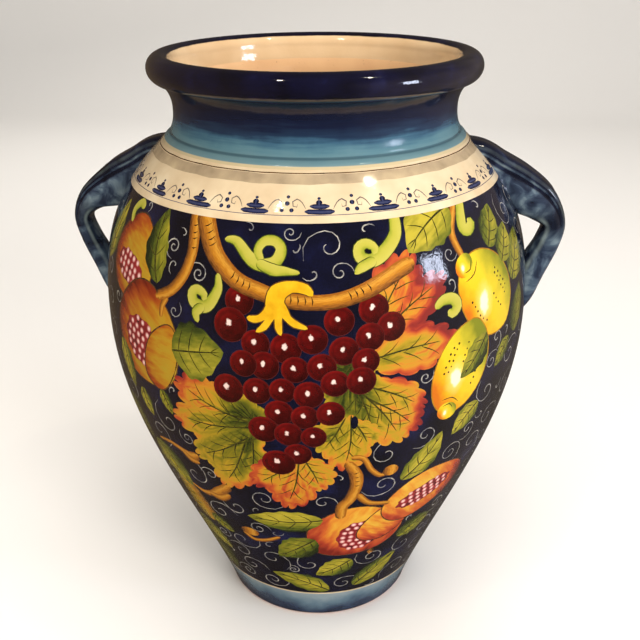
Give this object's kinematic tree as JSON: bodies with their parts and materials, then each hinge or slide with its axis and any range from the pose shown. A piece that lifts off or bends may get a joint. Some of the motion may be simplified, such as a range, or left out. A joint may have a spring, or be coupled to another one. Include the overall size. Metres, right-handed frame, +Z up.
{
  "type": "ceramic vase",
  "caption": "Tall ovoid glazed ceramic jar with a collared neck, rolled rim, small foot and two ear-shaped strap handles on the shoulder.",
  "frame": {"origin": "centre of the foot ring, on the surface that the jar stands on", "axes": "+Z up along the jar's axis; the two handles lie along X; the painted front faces -Y"},
  "size_m": [0.4222, 0.3614, 0.5],
  "materials": {
    "foot_glaze": "glossy",
    "ground_glaze": "glossy",
    "collar_glaze": "glossy",
    "rim_glaze": "glossy",
    "handle_glaze": "glossy"
  },
  "bodies": {
    "root": {"base": "foot_glaze", "lower_belly": "ground_glaze", "upper_belly": "ground_glaze", "neck_collar": "collar_glaze", "rolled_rim": "rim_glaze", "handle_right": "handle_glaze", "handle_left": "handle_glaze"}
  },
  "joints": []
}
